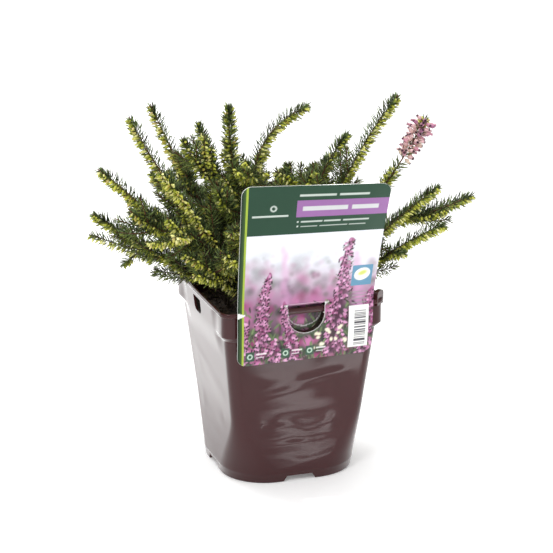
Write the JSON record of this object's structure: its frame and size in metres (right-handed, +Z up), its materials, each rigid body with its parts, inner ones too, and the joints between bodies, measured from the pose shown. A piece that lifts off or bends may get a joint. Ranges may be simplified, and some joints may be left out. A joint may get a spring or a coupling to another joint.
{
  "type": "potted winter heath",
  "caption": "Small evergreen heath with needle-leaved stems, pale buds and a flowering spray, in a square tapered plastic nursery pot with a picture card hooked over the rim.",
  "frame": {"origin": "on the ground, under the middle of the whole plant's box", "axes": "+Z up, -Y towards the side of the pot that carries the label, +X to the right of a viewer who faces the label"},
  "size_m": [0.2896, 0.224, 0.288],
  "materials": {
    "pot_plastic": "glossy dark brown-red plastic with soft dents",
    "soil": "moist dark peat, matt and crumbly",
    "label_card": "printed plastic card with a light gloss",
    "heath_dark": "dark green needles with a slight waxy sheen",
    "heath_lime": "pale yellow-green buds, satin",
    "flower_pink": "matt pink bell flowers"
  },
  "bodies": {
    "root": {"pot": "pot_plastic", "soil": "soil", "label": "label_card", "stem_in_flower": "flower_pink", "stem_left_high": "heath_dark", "stem_left_rear": "heath_dark", "stem_left_low": "heath_lime", "stem_left_lowest": "heath_dark", "stem_trailing": "heath_dark", "stem_yellow_front": "heath_lime", "stem_left_upright": "heath_dark", "stem_upright": "heath_dark", "stem_arching": "heath_lime", "stem_right_high": "heath_dark", "stem_right_upright": "heath_dark", "stem_right_middle": "heath_lime", "stem_right_low": "heath_dark", "stem_front_left": "heath_dark", "stem_front_nodding": "heath_lime", "stem_front": "heath_dark", "stem_front_right": "heath_dark", "stem_rear_left": "heath_lime", "stem_rear": "heath_dark", "stem_rear_middle": "heath_dark", "stem_rear_right": "heath_lime", "stem_right_rear": "heath_dark", "stem_right": "heath_dark", "stem_centre_rear": "heath_lime"}
  },
  "joints": []
}
